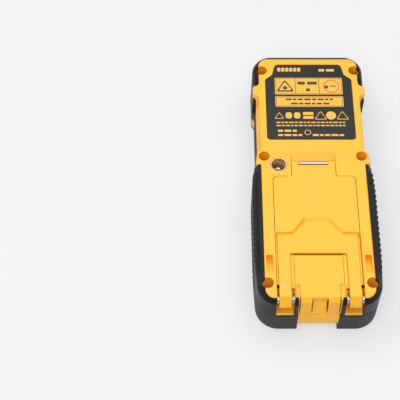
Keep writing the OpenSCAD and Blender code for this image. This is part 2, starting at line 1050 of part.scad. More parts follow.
module laser_diode() {
    color("goldenrod")
        union() {
            rod_y(laser_x, optic_low_y + 4.5, optic_low_y + 6, optic_z + 1, 2.8);
            rod_y(laser_x, optic_low_y + 5.9, optic_low_y + 9, optic_z + 1, 1.8);
        }
}

module collimator_lens() {
    color("lightblue")
        rod_y(laser_x, optic_high_y - 6, optic_high_y - 4, optic_z + 1, 2.84);
}

module receiver_lens() {
    color("lightblue")
        rod_y(receiver_x, optic_high_y - 3.5, optic_high_y - 0.5, optic_z + 1, receiver_r - 0.62);
}

module receiver_board() {
    color("seagreen")
        block([-4, optic_low_y - 1.8, pcb_top + 1.5], [14, optic_low_y - 0.6, 24]);
}

module photodiode() {
    color("#202020")
        rod_y(receiver_x, optic_low_y - 0.6, optic_low_y + 1.2, optic_z + 1, 2.1);
}

module end_bezel() {
    color("#1d1f22")
        difference() {
            block(
                [bezel_low_x, bezel_y, optic_z - bezel_half_z],
                [bezel_high_x, bezel_end_y, optic_z + bezel_half_z]
            );
            rod_y(laser_x, bezel_y - 1, end_y, optic_z + 1, 2.6);
            rod_y(laser_x, bezel_end_y - 1.6, end_y, optic_z + 1, laser_r + 0.02);
            rod_y(receiver_x, bezel_y - 1, end_y, optic_z + 1, receiver_r - 0.8);
            rod_y(receiver_x, bezel_end_y - 1.6, end_y, optic_z + 1, receiver_r + 0.02);
        }
}

module laser_window() {
    color("darkred")
        rod_y(laser_x, bezel_end_y - 1.6, bezel_end_y - 0.6, optic_z + 1, laser_r);
}

module receiver_window() {
    color("#3a1014")
        rod_y(receiver_x, bezel_end_y - 1.6, bezel_end_y - 0.6, optic_z + 1, receiver_r);
}

back_shell();
rear_top_overmould();
left_rear_grip();
right_rear_grip();
front_shell();
front_overmould();
case_gasket();
case_screws();
label_plate();
tripod_insert();
positioning_foot();
foot_wear_pin();
foot_hinge_pin_left();
foot_hinge_pin_right();
foot_spring_left();
foot_spring_right();
battery_door();
battery_latch();
battery_tray();
aaa_cell_1();
aaa_cell_2();
aaa_cell_3();
cell_springs();
cell_contact_plates();
front_fascia();
display_window();
display_module();
keypad_mat();
key_measure();
key_reference();
key_clear();
key_add();
key_area();
key_subtract();
key_indirect();
key_memory();
key_timer();
main_pcb();
key_domes();
pcb_screws();
processor_chip();
buzzer();
optical_block();
laser_barrel();
laser_diode();
collimator_lens();
receiver_lens();
receiver_board();
photodiode();
end_bezel();
laser_window();
receiver_window();
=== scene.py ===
"""Laser distance meter, lying on its front: materials and detailed pieces around the CAD frame.

Shapes are written in millimetres, in the CAD's own frame, and turned into metres when a mesh is
made. +X is across the back panel, +Y towards the laser end, and +Z out of the back panel.
"""
import json
import math

import bmesh
import bpy
from mathutils import Matrix, Vector


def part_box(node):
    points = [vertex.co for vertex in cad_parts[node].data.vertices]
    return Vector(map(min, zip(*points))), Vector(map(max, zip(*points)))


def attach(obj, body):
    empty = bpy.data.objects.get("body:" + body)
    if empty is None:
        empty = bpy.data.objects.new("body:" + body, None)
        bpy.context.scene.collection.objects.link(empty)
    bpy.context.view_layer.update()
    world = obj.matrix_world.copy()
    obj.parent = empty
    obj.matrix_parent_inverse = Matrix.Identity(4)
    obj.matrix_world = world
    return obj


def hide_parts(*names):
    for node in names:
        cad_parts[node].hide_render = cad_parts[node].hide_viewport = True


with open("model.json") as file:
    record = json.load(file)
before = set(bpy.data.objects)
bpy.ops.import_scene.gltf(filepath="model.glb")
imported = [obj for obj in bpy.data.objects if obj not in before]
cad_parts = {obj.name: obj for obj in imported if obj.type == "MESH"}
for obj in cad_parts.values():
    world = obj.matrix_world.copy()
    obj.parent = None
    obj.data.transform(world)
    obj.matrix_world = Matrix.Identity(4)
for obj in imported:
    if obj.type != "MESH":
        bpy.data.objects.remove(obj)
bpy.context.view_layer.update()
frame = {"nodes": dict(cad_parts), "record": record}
NODES = frame["nodes"]

MM = 0.001


def node_box(name):
    """The lowest and highest corners of a CAD node, in millimetres."""
    low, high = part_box(name)
    return [v / MM for v in low], [v / MM for v in high]


# ---- Driving dimensions, from the frame ----
BACK_Z = node_box("back_shell")[1][2]
PARTING_Z = node_box("back_shell")[0][2]
END_Y = node_box("front_overmould")[1][1]
SIDE_X = node_box("front_overmould")[1][0]
UPPER_X = node_box("rear_top_overmould")[1][0]
FOOT_HALF = node_box("positioning_foot")[1][0]
TIP_Y = node_box("positioning_foot")[1][1]
FACE_Z = node_box("front_shell")[0][2]
PIN_Z = (node_box("foot_hinge_pin_left")[0][2] + node_box("foot_hinge_pin_left")[1][2]) / 2
PIN_Y = (node_box("foot_hinge_pin_left")[0][1] + node_box("foot_hinge_pin_left")[1][1]) / 2

# ---- Case dimensions ----
ARC_STEPS = 8
WAIST_X = 25.6
RIM_X = 25.3
FRONT_WAIST_X = 27.1
GRIP_TOP_Y = 3.4
LUG_LOW_Z = 22
RUBBER_END_Y = 45
GAP_HALF = 9.6
RECESS_R = 2.75
RECESS_FLOOR_Z = 18.9
BOSS_R = 3.0
BOSS_TOP = 2.7
CHEEK_OUT = 10.15
SEAM = 0.06
BAY_HALF = 17.9
BAY_LOW_Y = -63.6
BAY_HIGH_Y = -13.1
BAY_TOP_Z = 23.75
BEZEL_LOW_X = -18.9
BEZEL_HIGH_X = 14.9
BEZEL_IN_Y = 66.5
BEZEL_LOW_Z = 5.8
BEZEL_HIGH_Z = 24.8
POCKET_IN_X = 21.5
POCKET_OUT_X = 24.6
POCKET_HIGH_Y = -47.4
POCKET_STEP_Y = -51.2
POCKET_LOW_Y = -56.6
LABEL_HALF = 22.1
LABEL_LOW_Y = 17.8
LABEL_HIGH_Y = 64.8
TAB_LOW_Z = 2.5
TAB_HIGH_Z = 8.4
TAB_HIGH_Y = 46
SCREWS = [(23.7, 61), (23.9, 8), (24.1, -62)]
PANEL_HALF = [
    (RIM_X, 68.6, 4.5), (RIM_X, 51.9, 2.4), (UPPER_X, 50.9, 0.8), (UPPER_X, 46, 1.2),
    (WAIST_X, 44.3, 1.2), (WAIST_X, 12.6, 2), (27.4, 9.6, 2), (28.2, GRIP_TOP_Y, 0.5),
    (WAIST_X, GRIP_TOP_Y, 0.4), (WAIST_X, -69.6, 5.2),
]
LOW_PANEL_HALF = [
    (RIM_X, 68.6, 4.5), (RIM_X, RUBBER_END_Y, 0), (26.6, RUBBER_END_Y, 0), (26.6, 12.6, 2),
    (27.4, 9.6, 2), (28.2, GRIP_TOP_Y, 0.5), (WAIST_X, GRIP_TOP_Y, 0.4), (WAIST_X, -69.6, 5.2),
]
TOP_RUBBER_HALF = [(UPPER_X, END_Y, 9.5), (UPPER_X, RUBBER_END_Y, 0)]
FRONT_OUTER_HALF = [
    (UPPER_X, END_Y, 9.5), (UPPER_X, 45.6, 1.2), (FRONT_WAIST_X, 43.3, 1.2),
    (FRONT_WAIST_X, 12, 3), (29, 6, 3), (SIDE_X - 0.3, -6, 20), (SIDE_X - 0.3, -50, 20),
    (28.6, -END_Y, 11),
]
FRONT_SHELL_HALF = [(25.6, 69.2, 7), (25.6, -69.4, 7)]
FACE_OPENING_HALF = [(24.2, 67.2, 6), (24.2, -66.6, 7)]

# ---- Foot, door and bay dimensions ----
TIP_HALF = 10.65
NECK_Y = -3.8
WING_Y = -35.3
LOW_HALF = 19
ARM_IN = 13.4
ARM_OUT = 18.9
BAR_Y = -45.6
BAR_CORNER = 1.0
FOOT_UNDER_Z = 26.2
BAR_Z = BACK_Z - 1.3
CHANNEL_Z = 25.9
CHANNEL_GAP = 0.3
RIB_Z = 27.3
RIB_END_Y = -62.1
SLOT_IN = 11.7
SLOT_OUT = 20.2
SLOT_Y = -63.3
SLOT_Z = 17
SLOT_WALL_Y = -64.65
SLOT_WALL_TOP = 23.9
PIT_Y = -71.45
PIT_Z = 15.9
WEAR_PIN_HALF = 7.4
WEAR_PIN_Y = 4.3
WEAR_PIN_R = 0.94
BORE_R = 1.05
WIRE_R = 0.24
COIL_R = 1.75
COIL_TURNS = 2.2
COIL_STEPS = 28
DOOR_TOP = 26.4
DOOR_STEP_Y = -61.0
DOOR_IN_Y = -46.1
DOOR_HALF = 11.3
TONGUE_HALF = 9.3
HATCH_HALF = 11.6
DOOR_LOW_Z = 15.5
DOOR_CHAMFER_Y = -68.3
DOOR_FACE_Y = -70.2
DOOR_FACE_Z = 24.5
DOOR_FOOT_Y = -71.35
LIP_Y = -71.98
DOOR_PLATE_Z = 24.4
DOOR_PIN_Y = -47.4
DOOR_PIN_Z = 24.95
DOOR_PIN_R = 0.65
TONGUE_SHOWN = 9.05
LATCH_HALF = 3.2
LATCH_GAP = 0.67
LATCH_TOP_Z = 23.1
LATCH_LOW_Z = 16
INSERT_X = -16.9
INSERT_Y = 3.2
INSERT_SEAT_R = 4.35
INSERT_SEAT_Z = 20.5


# ---- Outlines ----

def corner_arc(before, at, after, radius):
    """Points along the round corner at `at`, between its neighbours."""
    at = Vector(at)
    a = (Vector(before) - at).normalized()
    b = (Vector(after) - at).normalized()
    half = a.angle(b) / 2
    centre = at + (a + b).normalized() * (radius / math.sin(half))
    start = at + a * (radius / math.tan(half)) - centre
    end = at + b * (radius / math.tan(half)) - centre
    points = []
    for i in range(ARC_STEPS + 1):
        mix = start * (ARC_STEPS - i) + end * i
        points.append(centre + mix.normalized() * radius)
    return points


def rounded(path):
    """A closed outline from (x, y, corner radius) points."""
    points = []
    for i, (x, y, radius) in enumerate(path):
        if radius > 0:
            before = path[i - 1][:2]
            after = path[(i + 1) % len(path)][:2]
            points.extend(corner_arc(before, (x, y), after, radius))
        else:
            points.append(Vector((x, y)))
    return points


def both_sides(half):
    """The whole path from its right-hand half."""
    return list(half) + [(-x, y, radius) for x, y, radius in reversed(half)]


def rectangle(x_low, x_high, y_low, y_high, radius=0.0):
    return [
        (x_high, y_high, radius), (x_high, y_low, radius),
        (x_low, y_low, radius), (x_low, y_high, radius),
    ]


def circle(x, y, radius, steps=48):
    angles = [-2 * math.pi * i / steps for i in range(steps)]
    return [(x + radius * math.cos(a), y + radius * math.sin(a), 0) for a in angles]


def inset(path, distance):
    """A clockwise path moved inwards by distance, with its corners kept parallel."""
    moved = []
    for i, (x, y, radius) in enumerate(path):
        at = Vector((x, y))
        a = (at - Vector(path[i - 1][:2])).normalized()
        b = (Vector(path[(i + 1) % len(path)][:2]) - at).normalized()
        inward = Vector((a.y + b.y, -a.x - b.x))
        corner = at + inward * (distance / (1 + a.dot(b)))
        turns_right = a.x * b.y - a.y * b.x < 0
        if radius > 0:
            radius = max(0.03, radius - distance) if turns_right else radius + distance
        moved.append((corner.x, corner.y, radius))
    return moved


def fillet(radius, steps=6):
    """(inset, drop) pairs of a quarter round, from the wall up to the face."""
    if radius == 0:
        return [(0, 0)]
    angles = [math.pi / 2 * i / steps for i in range(steps + 1)]
    return [(radius * (1 - math.cos(a)), radius * (1 - math.sin(a))) for a in angles]


# ---- Mesh building ----

def new_piece(name, mesh):
    piece = bpy.data.objects.new(name, mesh)
    bpy.context.scene.collection.objects.link(piece)
    return piece


def piece_from_bmesh(name, bm):
    bmesh.ops.recalc_face_normals(bm, faces=bm.faces)
    mesh = bpy.data.meshes.new(name)
    bm.to_mesh(mesh)
    bm.free()
    return new_piece(name, mesh)


def add_rings(bm, rings, close_ends=True):
    """Skins closed rings of points (millimetres) into bm."""
    rows = [[bm.verts.new(Vector(p) * MM) for p in ring] for ring in rings]
    count = len(rows[0])
    for low, high in zip(rows, rows[1:]):
        for i in range(count):
            j = (i + 1) % count
            bm.faces.new((low[i], low[j], high[j], high[i]))
    if close_ends:
        bm.faces.new(rows[0])
        bm.faces.new(rows[-1])


def stacked(name, path, levels):
    """A solid through (inset, z) levels of one path."""
    bm = bmesh.new()
    add_rings(bm, [[(p.x, p.y, z) for p in rounded(inset(path, d))] for d, z in levels])
    return piece_from_bmesh(name, bm)


def slab(name, path, low, high, low_round=0.0, high_round=0.0):
    """An extruded path with rounded lower and upper edges."""
    levels = [(step_in, low + drop) for step_in, drop in reversed(fillet(low_round))]
    levels += [(step_in, high - drop) for step_in, drop in fillet(high_round)]
    return stacked(name, path, levels)


def shouldered_slab(name, path, low, high, shoulder):
    """An extruded path whose upper edge follows (inset, drop) pairs."""
    levels = [(0, low)] + [(step_in, high - drop) for step_in, drop in reversed(shoulder)]
    return stacked(name, path, levels)


def block(x_low, x_high, y_low, y_high, z_low, z_high):
    return slab("block", rectangle(x_low, x_high, y_low, y_high), z_low, z_high)


def disc(x, y, radius, low, high, steps=48):
    return slab("disc", circle(x, y, radius, steps), low, high)


def side_slab(name, outline, x_low, x_high):
    """An outline in (y, z), extruded along X."""
    bm = bmesh.new()
    add_rings(bm, [[(x, p[0], p[1]) for p in outline] for x in (x_low, x_high)])
    return piece_from_bmesh(name, bm)


def lathe(name, profile, steps=64, axis="Z", centre=(0, 0, 0)):
    """Turns a closed (radius, height) profile about an axis, Z or X."""
    bm = bmesh.new()
    rows = []
    for i in range(steps):
        angle = 2 * math.pi * i / steps
        row = []
        for radius, height in profile:
            u, v = radius * math.cos(angle), radius * math.sin(angle)
            local = (u, v, height) if axis == "Z" else (height, u, v)
            at = tuple(c + part for c, part in zip(centre, local))
            row.append(bm.verts.new(Vector(at) * MM))
        rows.append(row)
    count = len(profile)
    for i in range(steps):
        for j in range(count):
            k = (j + 1) % count
            n = (i + 1) % steps
            bm.faces.new((rows[i][j], rows[n][j], rows[n][k], rows[i][k]))
    bmesh.ops.remove_doubles(bm, verts=bm.verts, dist=1e-7)
    return piece_from_bmesh(name, bm)


def bake(piece):
    """Applies a piece's modifiers to its mesh."""
    graph = bpy.context.evaluated_depsgraph_get()
    mesh = bpy.data.meshes.new_from_object(piece.evaluated_get(graph))
    old = piece.data
    piece.modifiers.clear()
    piece.data = mesh
    bpy.data.meshes.remove(old)


def combine(piece, tool, operation):
    modifier = piece.modifiers.new(operation, "BOOLEAN")
    modifier.operation = operation
    modifier.solver = "EXACT"
    modifier.object = tool
    bake(piece)
    mesh = tool.data
    bpy.data.objects.remove(tool)
    bpy.data.meshes.remove(mesh)


def cut(piece, *tools):
    for tool in tools:
        combine(piece, tool, "DIFFERENCE")


def fuse(piece, *tools):
    for tool in tools:
        combine(piece, tool, "UNION")


def mirrored(piece):
    """A copy of a piece on the other side of the object."""
    copy = new_piece(piece.name + "_copy", piece.data.copy())
    copy.data.transform(Matrix.Scale(-1, 4, (1, 0, 0)))
    copy.data.flip_normals()
    return copy


def pair(piece):
    """A piece and its mirror image."""
    return [piece, mirrored(piece)]


def join(name, pieces):
    """One piece from several meshes that share its material."""
    bm = bmesh.new()
    for piece in pieces:
        bm.from_mesh(piece.data)
        mesh = piece.data
        bpy.data.objects.remove(piece)
        bpy.data.meshes.remove(mesh)
    mesh = bpy.data.meshes.new(name)
    bm.to_mesh(mesh)
    bm.free()
    return new_piece(name, mesh)


def soften(piece, width=0.25, segments=2, angle=32, smooth_angle=38):
    """Rounds a piece's sharp edges and smooths its shading."""
    bm = bmesh.new()
    bm.from_mesh(piece.data)
    bmesh.ops.remove_doubles(bm, verts=bm.verts, dist=2e-6)
    bmesh.ops.dissolve_limit(
        bm, angle_limit=math.radians(1), verts=bm.verts, edges=bm.edges
    )
    bm.to_mesh(piece.data)
    bm.free()
    bevel = piece.modifiers.new("edges", "BEVEL")
    bevel.width = width * MM
    bevel.segments = segments
    bevel.limit_method = "ANGLE"
    bevel.angle_limit = math.radians(angle)
    bevel.use_clamp_overlap = True
    bevel.harden_normals = False
    smooth(piece, smooth_angle)
    normals = piece.modifiers.new("normals", "WEIGHTED_NORMAL")
    normals.keep_sharp = True
    normals.weight = 60


def smooth(piece, angle=38):
    for polygon in piece.data.polygons:
        polygon.use_smooth = True
    piece.data.set_sharp_from_angle(angle=math.radians(angle))


def finish_piece(piece, material, body, slot, *nodes):
    """Gives a piece its material and body, and hides the CAD nodes that it stands for."""
    piece.data.materials.clear()
    piece.data.materials.append(material)
    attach(piece, body)
    if nodes:
        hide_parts(*nodes)
    return piece


# ---- Materials ----

def node_tree(name):
    material = bpy.data.materials.new(name)
    material.use_nodes = True
    tree = material.node_tree
    return material, tree, tree.nodes["Principled BSDF"]


def noise(tree, scale, detail=3.0, roughness=0.55):
    place = tree.nodes.new("ShaderNodeTexCoord")
    texture = tree.nodes.new("ShaderNodeTexNoise")
    texture.inputs["Scale"].default_value = scale
    texture.inputs["Detail"].default_value = detail
    texture.inputs["Roughness"].default_value = roughness
    tree.links.new(place.outputs["Object"], texture.inputs["Vector"])
    return texture.outputs["Fac"]


def ramp(tree, value, low, high, a, b):
    """Maps value from low..high to the colours a..b."""
    node = tree.nodes.new("ShaderNodeValToRGB")
    node.color_ramp.elements[0].position = low
    node.color_ramp.elements[1].position = high
    node.color_ramp.elements[0].color = (*a, 1)
    node.color_ramp.elements[1].color = (*b, 1)
    tree.links.new(value, node.inputs["Fac"])
    return node.outputs["Color"]


def level(tree, value, low, high):
    """Maps a 0..1 value to low..high."""
    node = tree.nodes.new("ShaderNodeMapRange")
    node.inputs["To Min"].default_value = low
    node.inputs["To Max"].default_value = high
    tree.links.new(value, node.inputs["Value"])
    return node.outputs["Result"]


def bump(tree, shader, height, strength, distance):
    node = tree.nodes.new("ShaderNodeBump")
    node.inputs["Strength"].default_value = strength
    node.inputs["Distance"].default_value = distance
    tree.links.new(height, node.inputs["Height"])
    tree.links.new(node.outputs["Normal"], shader.inputs["Normal"])


def shaded(colour, factor):
    return tuple(min(1.0, c * factor) for c in colour)


def moulded(name, colour, rough, grain_size=0.18, grain=0.35, variation=0.06, specular=0.5):
    """Moulded plastic or rubber: fine grain, slight mottling of colour and gloss."""
    material, tree, shader = node_tree(name)
    broad = noise(tree, 90)
    fine = noise(tree, 1 / (grain_size * MM), 2)
    dark, light = shaded(colour, 1 - variation), shaded(colour, 1 + variation)
    colours = ramp(tree, broad, 0.3, 0.7, dark, light)
    tree.links.new(colours, shader.inputs["Base Color"])
    tree.links.new(level(tree, broad, rough - 0.06, rough + 0.06), shader.inputs["Roughness"])
    shader.inputs["Specular IOR Level"].default_value = specular
    bump(tree, shader, fine, grain, 0.02 * MM)
    return material


def metal(name, colour, rough, stretch=(1, 1, 1), variation=0.12):
    """Turned or drawn metal, with fine lines stretched along one axis."""
    material, tree, shader = node_tree(name)
    place = tree.nodes.new("ShaderNodeTexCoord")
    mapping = tree.nodes.new("ShaderNodeMapping")
    mapping.inputs["Scale"].default_value = stretch
    lines = tree.nodes.new("ShaderNodeTexNoise")
    lines.inputs["Scale"].default_value = 2500
    lines.inputs["Detail"].default_value = 3
    tree.links.new(place.outputs["Object"], mapping.inputs["Vector"])
    tree.links.new(mapping.outputs["Vector"], lines.inputs["Vector"])
    value = lines.outputs["Fac"]
    dark, light = shaded(colour, 1 - variation), shaded(colour, 1 + variation)
    colours = ramp(tree, value, 0.3, 0.7, dark, light)
    tree.links.new(colours, shader.inputs["Base Color"])
    tree.links.new(level(tree, value, rough - 0.08, rough + 0.1), shader.inputs["Roughness"])
    shader.inputs["Metallic"].default_value = 1
    bump(tree, shader, value, 0.25, 0.01 * MM)
    return material


def clear(name, colour, rough=0.03, alpha=1.0, transmission=0.0):
    """Polished window or display glass with faint smears."""
    material, tree, shader = node_tree(name)
    smear = noise(tree, 220, 4)
    colours = ramp(tree, smear, 0.3, 0.7, shaded(colour, 0.92), shaded(colour, 1.08))
    tree.links.new(colours, shader.inputs["Base Color"])
    tree.links.new(level(tree, smear, rough, rough + 0.05), shader.inputs["Roughness"])
    shader.inputs["Transmission Weight"].default_value = transmission
    shader.inputs["Alpha"].default_value = alpha
    shader.inputs["Coat Weight"].default_value = 0.5
    return material


YELLOW = (0.97, 0.465, 0.017)
BLACK = (0.008, 0.008, 0.0085)
GREY = (0.034, 0.0345, 0.0355)
INK = (0.86, 0.45, 0.05)

MATERIALS = {
    "yellow_plastic": moulded("yellow_plastic", YELLOW, 0.38, 0.18, 0.3, 0.03),
    "black_rubber": moulded("black_rubber", BLACK, 0.42, 0.3, 0.5, 0.12, 0.22),
    "grey_rubber": moulded("grey_rubber", GREY, 0.55, 0.35, 0.6, 0.1, 0.22),
    "label_film": moulded("label_film", (0.017, 0.0172, 0.018), 0.45, 0.12, 0.25, 0.05, 0.3),
    "label_ink": moulded("label_ink", INK, 0.5, 0.1, 0.2, 0.03),
    "label_red": moulded("label_red", (0.75, 0.12, 0.05), 0.5, 0.1, 0.2, 0.03),
    "label_dark": moulded("label_dark", (0.05, 0.045, 0.03), 0.5, 0.1, 0.2, 0.03),
    "steel": metal("steel", (0.45, 0.45, 0.46), 0.36, (1, 14, 14)),
    "spring_steel": metal("spring_steel", (0.75, 0.75, 0.77), 0.2),
    "screw_steel": metal("screw_steel", (0.42, 0.42, 0.44), 0.35),
    "insert_brass": metal("insert_brass", (0.56, 0.38, 0.24), 0.28, (1, 1, 20)),
    "gasket_rubber": moulded("gasket_rubber", (0.03, 0.03, 0.03), 0.7),
    "cell_jacket": moulded("cell_jacket", (0.22, 0.27, 0.31), 0.28, 0.1, 0.1, 0.05),
    "contact_metal": metal("contact_metal", (0.70, 0.69, 0.66), 0.28),
    "tray_plastic": moulded("tray_plastic", (0.04, 0.04, 0.043), 0.5),
    "fascia_plastic": moulded("fascia_plastic", (0.03, 0.031, 0.034), 0.45),
    "display_glass": clear("display_glass", (0.012, 0.015, 0.02)),
    "display_panel": moulded("display_panel", (0.36, 0.42, 0.39), 0.3),
    "keypad_silicone": moulded("keypad_silicone", (0.15, 0.15, 0.16), 0.7),
    "key_yellow": moulded("key_yellow", YELLOW, 0.36, 0.1, 0.15),
    "key_grey": moulded("key_grey", (0.17, 0.18, 0.19), 0.4, 0.1, 0.2),
    "key_ink": moulded("key_ink", (0.72, 0.73, 0.74), 0.5, 0.1, 0.2, 0.03),
    "key_red": moulded("key_red", (0.50, 0.045, 0.035), 0.4, 0.1, 0.2),
    "circuit_board": moulded("circuit_board", (0.02, 0.16, 0.06), 0.35, 0.4, 0.3, 0.15),
    "component_black": moulded("component_black", (0.02, 0.02, 0.02), 0.5),
    "optic_plastic": moulded("optic_plastic", (0.035, 0.038, 0.042), 0.6),
    "lens_glass": clear("lens_glass", (0.8, 0.9, 0.95), 0.02, 1.0, 0.9),
    "window_glass": clear("window_glass", (0.06, 0.01, 0.015), 0.03, 1.0, 0.3),
}


# ---- Case ----

def foot_outline(gap):
    """The foot's outline, grown by gap, for the channel that it lies in."""
    return both_sides([
        (TIP_HALF + gap, TIP_Y, 0), (TIP_HALF + gap, NECK_Y + gap, 0.4),
        (FOOT_HALF + gap, NECK_Y + gap, 2.5), (FOOT_HALF + gap, WING_Y - 0.6, 0.3),
        (LOW_HALF + gap, WING_Y - 0.6, 0.3), (LOW_HALF + gap, BAR_Y, 0),
    ])


def notch_tool():
    """Finger notch beyond the foot's tip."""
    return side_slab("notch", [
        (TIP_Y - 2, CHANNEL_Z), (TIP_Y + 1.4, CHANNEL_Z), (TIP_Y + 5.5, BACK_Z),
        (TIP_Y + 5.5, BACK_Z + 1), (TIP_Y - 2, BACK_Z + 1),
    ], -TIP_HALF - CHANNEL_GAP, TIP_HALF + CHANNEL_GAP)


def pocket_tool():
    """Pocket in the back panel's rim, beside the foot's arm."""
    return side_slab("pocket", [
        (POCKET_HIGH_Y, BACK_Z + 1), (POCKET_HIGH_Y, BACK_Z - 4), (POCKET_STEP_Y, BACK_Z - 4),
        (POCKET_STEP_Y, BACK_Z - 2.4), (POCKET_LOW_Y, BACK_Z - 1.2), (POCKET_LOW_Y, BACK_Z + 1),
    ], POCKET_IN_X, POCKET_OUT_X)


def label_outline(gap):
    return both_sides([
        (16.9 + gap, LABEL_HIGH_Y + gap, 2.2), (18.4 + gap, 58.2, 1.6),
        (LABEL_HALF + gap, 55.2, 2.2), (LABEL_HALF + gap, LABEL_LOW_Y - gap, 2),
    ])


def at_screws(radius, low, high):
    """Cylinders on the axes of the six case screws."""
    return [disc(side * x, y, radius, low, high) for x, y in SCREWS for side in (1, -1)]


def recess_tools():
    return at_screws(RECESS_R, RECESS_FLOOR_Z, BACK_Z + 1)


def boss_tools():
    """Room in the rubber for the yellow tubes round the screw recesses."""
    return at_screws(BOSS_R, RECESS_FLOOR_Z - 2, BACK_Z - BOSS_TOP)


def bezel_room(high_y):
    """Room at the laser end for the bezel and its windows."""
    return block(BEZEL_LOW_X, BEZEL_HIGH_X, BEZEL_IN_Y, high_y, BEZEL_LOW_Z, BEZEL_HIGH_Z)


def boss(x, y):
    """The yellow tube round a screw recess, where it passes through the rubber."""
    top = BACK_Z - BOSS_TOP
    return lathe("boss", [
        (RECESS_R, RECESS_FLOOR_Z - 1), (BOSS_R, RECESS_FLOOR_Z - 1),
        (BOSS_R, top), (RECESS_R, top),
    ], 40, "Z", (x, y, 0))


def end_profile(inset_y=0.0):
    """The (y, z) outline of the battery end, from the door's chamfer down to the parting line."""
    return [
        (DOOR_CHAMFER_Y + inset_y, DOOR_TOP), (DOOR_FACE_Y + inset_y, DOOR_FACE_Z),
        (DOOR_FOOT_Y + inset_y, PARTING_Z),
    ]


def back_shell():
    shell = slab("back_shell_panel", both_sides(PANEL_HALF), LUG_LOW_Z, BACK_Z, 0, 0.7)
    low_z = PARTING_Z + SEAM
    fuse(shell, slab("low", both_sides(LOW_PANEL_HALF), low_z, LUG_LOW_Z + 0.4, 0, 0.3))
    fuse(shell, *pair(block(
        SLOT_IN + 0.2, SLOT_OUT - 0.2, -71.9, -69, PARTING_Z + 1, SLOT_Z
    )))
    channel = slab("channel", foot_outline(CHANNEL_GAP), CHANNEL_Z, BACK_Z + 2)
    half = FOOT_HALF + CHANNEL_GAP
    cut(
        shell, channel, block(-half, half, SLOT_Y, WING_Y - 0.9, CHANNEL_Z, BACK_Z + 2),
        notch_tool(), block(-BAY_HALF, BAY_HALF, BAY_LOW_Y, BAY_HIGH_Y, PARTING_Z - 1, BAY_TOP_Z),
    )
    fuse(shell, *pair(block(
        ARM_OUT + 0.22, half - 0.4, RIB_END_Y, WING_Y - 0.9, CHANNEL_Z - 0.5, RIB_Z
    )))
    fuse(shell, block(
        -ARM_IN + 0.25, ARM_IN - 0.25, RIB_END_Y, BAR_Y - 0.3, CHANNEL_Z - 0.5, DOOR_TOP
    ))
    end_half = TONGUE_HALF + 0.2
    over = BACK_Z + 1
    cut(
        shell, block(-HATCH_HALF, HATCH_HALF, DOOR_STEP_Y - 0.15, DOOR_IN_Y + 1.3, 20, over),
        block(-end_half, end_half, -END_Y - 1, DOOR_IN_Y, DOOR_LOW_Z - 0.1, over),
        block(-HATCH_HALF, HATCH_HALF, -END_Y, DOOR_STEP_Y, DOOR_TOP, over),
        slab("label_recess", label_outline(0.12), BACK_Z - 0.45, over),
        disc(INSERT_X, INSERT_Y, INSERT_SEAT_R, INSERT_SEAT_Z, over), bezel_room(END_Y),
    )
    cut(shell, *pair(pocket_tool()))
    cut(shell, *pair(block(SLOT_IN, SLOT_OUT, -END_Y - 1, SLOT_WALL_Y, SLOT_Z, over)))
    cut(shell, *pair(block(SLOT_IN, SLOT_OUT, SLOT_WALL_Y - 1, SLOT_Y, SLOT_WALL_TOP, over)))
    cut(shell, *pair(block(ARM_IN, ARM_OUT, PIT_Y, -66.5, PIT_Z, SLOT_Z + 1)))
    # Cheeks beside the door's end, and the strip of wall below it
    fuse(shell, *pair(side_slab("cheek", end_profile(0.45) + [
        (-68, low_z), (-67.6, DOOR_TOP),
    ], end_half, CHEEK_OUT)))
    strip_top = DOOR_LOW_Z - 0.12
    fuse(shell, side_slab("strip", [
        (-69, strip_top), (DOOR_FOOT_Y + 0.1, strip_top), (DOOR_FOOT_Y, low_z), (-69, low_z),
    ], -TONGUE_HALF - 0.3, TONGUE_HALF + 0.3))
    cut(shell, *recess_tools())
    for x, y in (SCREWS[0], SCREWS[2]):
        fuse(shell, *pair(boss(x, y)))
    soften(shell, 0.22)
    return finish_piece(shell, MATERIALS["yellow_plastic"], "case", "yellow_plastic", "back_shell")


def front_tabs():
    """Yellow tabs that show at the lower ends of the front rubber's wide part."""
    return pair(slab("tab", [
        (25, TAB_HIGH_Y, 0), (UPPER_X - 0.1, TAB_HIGH_Y, 0), (UPPER_X - 0.1, 45.4, 0.8),
        (FRONT_WAIST_X, 43.25, 0.3), (25, 43.25, 0),
    ], TAB_LOW_Z, TAB_HIGH_Z))


def front_shell():
    body_half = both_sides(FRONT_SHELL_HALF)
    shell = slab("front_shell_body", body_half, FACE_Z, PARTING_Z - SEAM, 2.2, 0.2)
    seat = both_sides([(22.15, 63.15, 5), (22.15, -60.15, 8)])
    fascia_top = node_box("front_fascia")[1][2]
    cut(shell, slab("fascia_seat", seat, 0, fascia_top))
    cut(shell, bezel_room(END_Y))
    # The end wall between the bumpers: a bevelled lip that turns under
    fuse(shell, side_slab("lip", [
        (-68, PARTING_Z - 0.1), (DOOR_FOOT_Y + 0.15, PARTING_Z - 0.1), (LIP_Y, 13.3),
        (LIP_Y, 8.9), (-71.8, 7.2), (-71.4, 5.6), (-70.8, 4.4), (-70, 3.7), (-68, 3.3), (-66, 5),
    ], -GAP_HALF, GAP_HALF))
    cut(shell, side_slab("end_slope", [
        (-73, 0.5), (-73, 3.65), (-69.9, 3.65), (-68, 3.25), (-66.6, 1.9), (-66.2, 0.5),
    ], -GAP_HALF, GAP_HALF))
    fuse(shell, *front_tabs())
    soften(shell, 0.25)
    return finish_piece(
        shell, MATERIALS["yellow_plastic"], "case", "yellow_plastic", "front_shell"
    )


# ---- Rubber ----

CORE_IN = 0.15


def panel_core(low, high):
    """The shell's own outline, drawn in a little, that the rubber wraps."""
    return slab("core", inset(both_sides(PANEL_HALF), CORE_IN), low, high)


